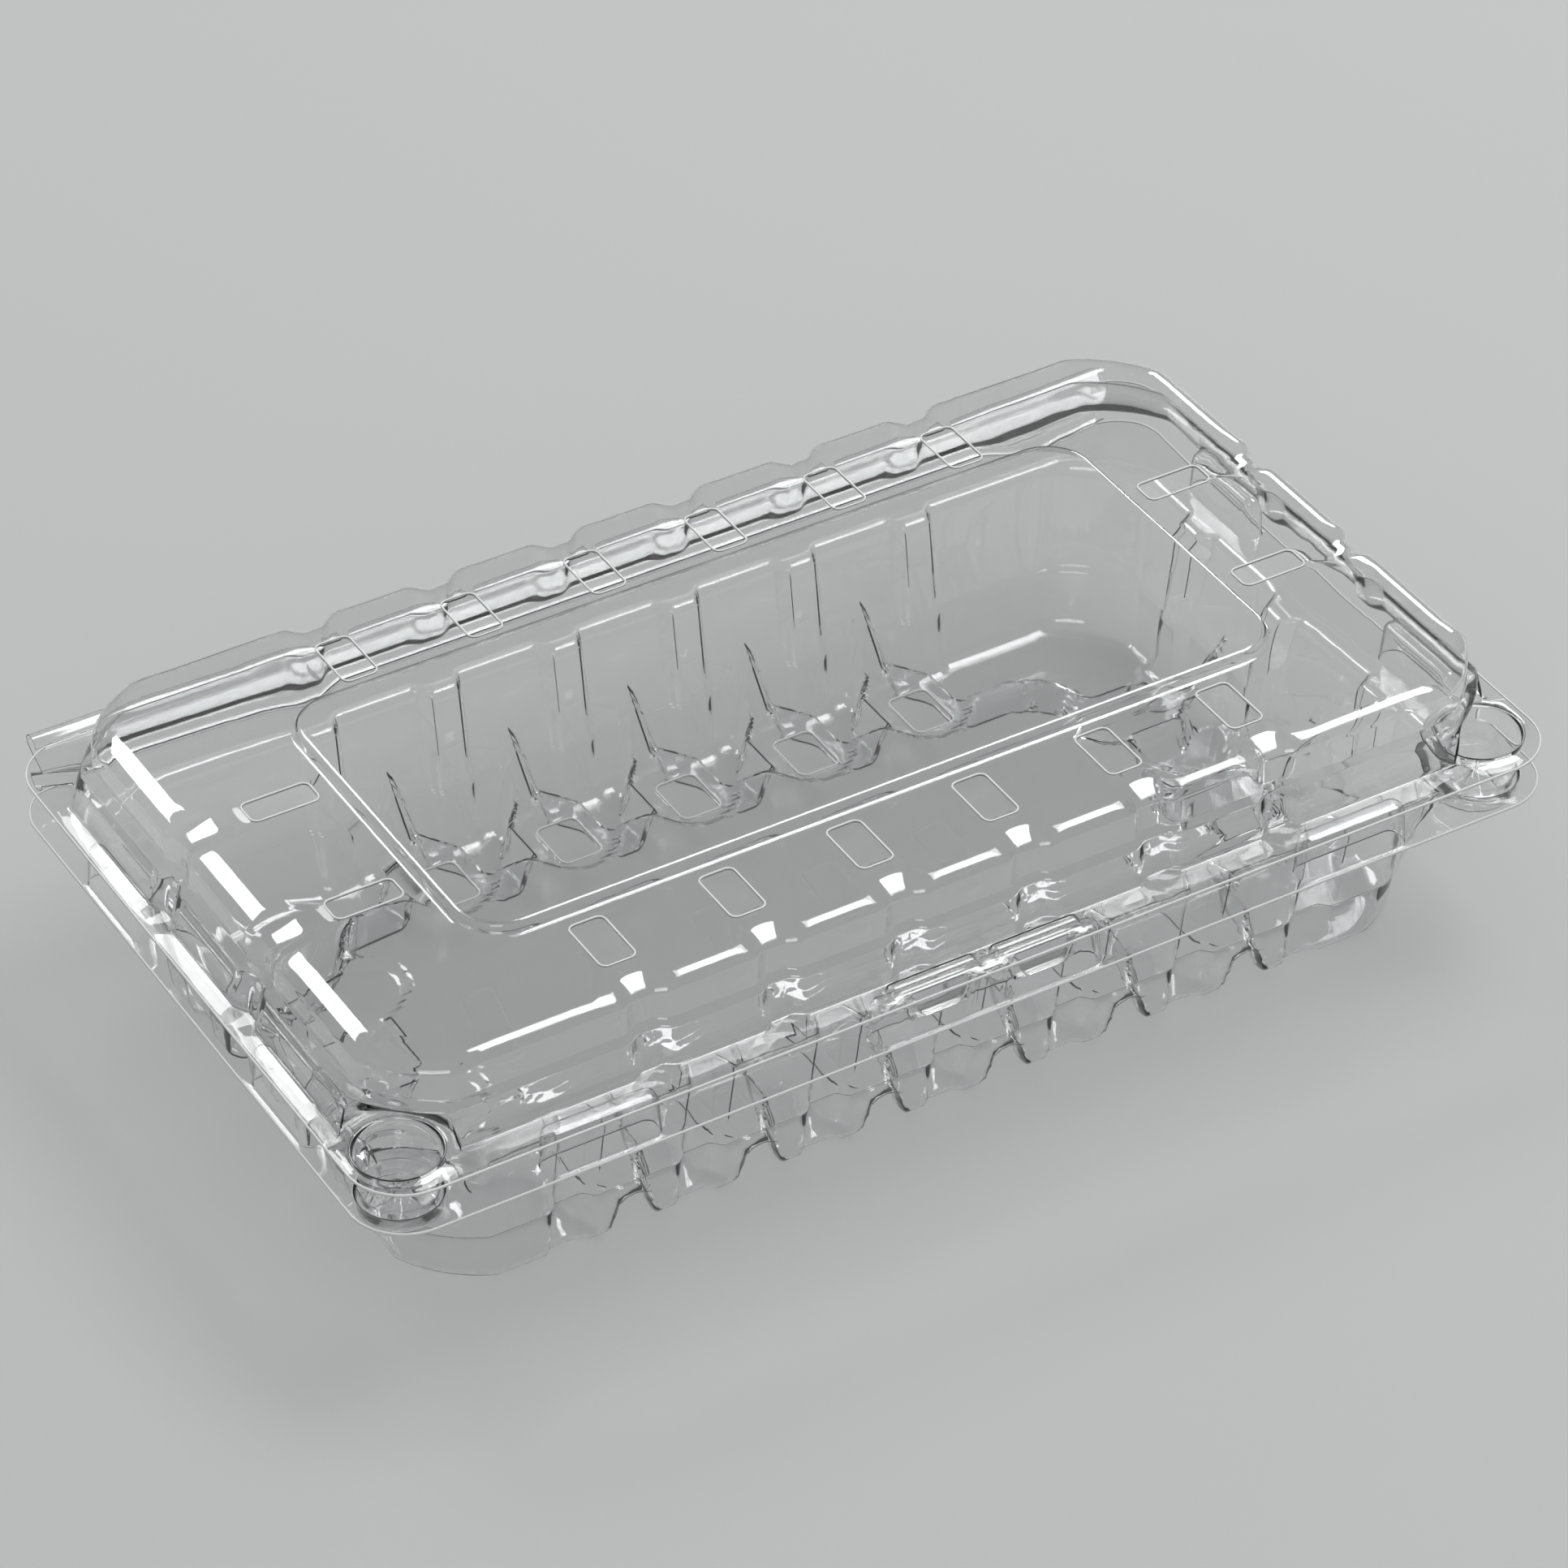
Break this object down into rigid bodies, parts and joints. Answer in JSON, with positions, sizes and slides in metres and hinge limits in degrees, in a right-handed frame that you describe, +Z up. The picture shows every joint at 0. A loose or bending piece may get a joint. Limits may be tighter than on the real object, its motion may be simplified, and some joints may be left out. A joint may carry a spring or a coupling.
{
  "type": "plastic clamshell pack",
  "caption": "Clear thermoformed clamshell fruit pack: fluted tray on moulded feet, vented domed lid that folds open along the back edge, corner snap buttons.",
  "frame": {"origin": "centre of the closed pack's bounding box on the ground", "axes": "+X along the pack's long side, +Y to the folding edge at the back, +Z up; the snap buttons are at the front, -Y"},
  "size_m": [0.265, 0.16, 0.0666],
  "materials": {
    "tray_sheet": "clear glossy PET sheet",
    "lid_sheet": "clear glossy PET sheet",
    "fold_sheet": "clear glossy PET sheet, creased"
  },
  "bodies": {
    "tray_body": {"tray": "tray_sheet", "hinge_web": "fold_sheet"},
    "lid_body": {"lid": "lid_sheet"}
  },
  "joints": [
    {"name": "lid_hinge", "type": "hinge", "parent": "tray_body", "child": "lid_body", "pos_m": [0, 0.08157, 0.0415], "axis": [-1, 0, 0], "range_deg": [0, 180]}
  ]
}
